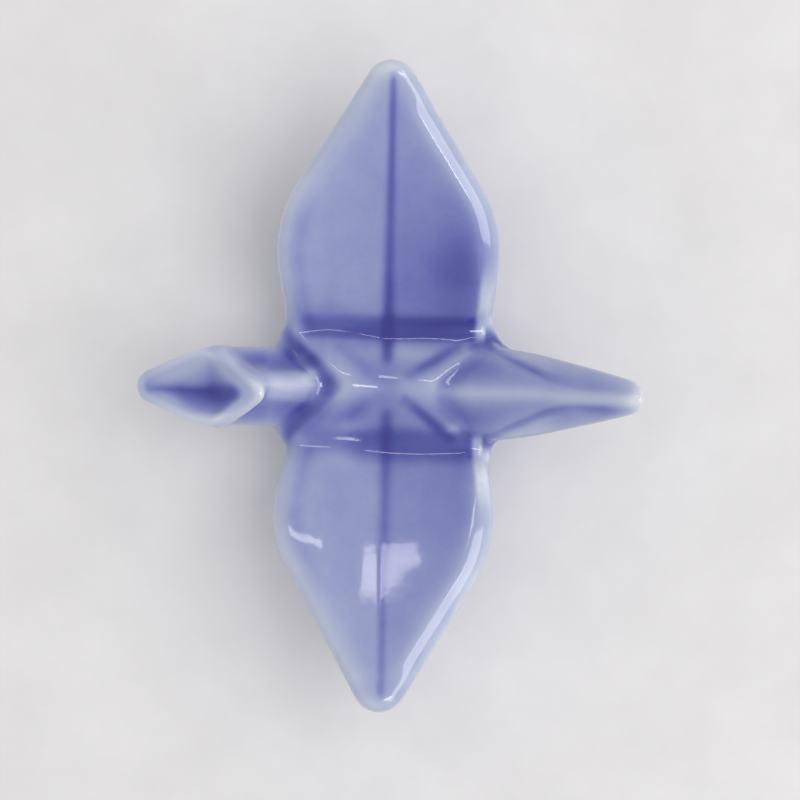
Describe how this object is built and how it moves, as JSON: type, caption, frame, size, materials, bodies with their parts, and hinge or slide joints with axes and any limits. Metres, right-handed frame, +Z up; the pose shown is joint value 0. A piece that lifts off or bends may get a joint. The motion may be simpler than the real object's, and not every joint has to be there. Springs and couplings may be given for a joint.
{
  "type": "chopstick rest",
  "caption": "Glazed ceramic chopstick rest in the shape of a folded crane with raised wings, neck and tail; chopstick tips lie over its low back.",
  "frame": {"origin": "bottom centre of the bounding box, on the table plane under the bare foot ring", "axes": "+Z up; +X from the crane's head towards its tail; +Y across the wings, towards the right wing, and along the way the chopsticks lie"},
  "size_m": [0.0508, 0.0648, 0.0194],
  "materials": {
    "glaze": "clear violet-blue gloss glaze over white porcelain, pale on the rims and darker where it pools",
    "bare_clay": "unglazed fired porcelain, matt, fine grained"
  },
  "bodies": {
    "root": {"back": "glaze", "left_wing": "glaze", "right_wing": "glaze", "neck": "glaze", "head": "glaze", "tail": "glaze", "foot": "bare_clay"}
  },
  "joints": []
}
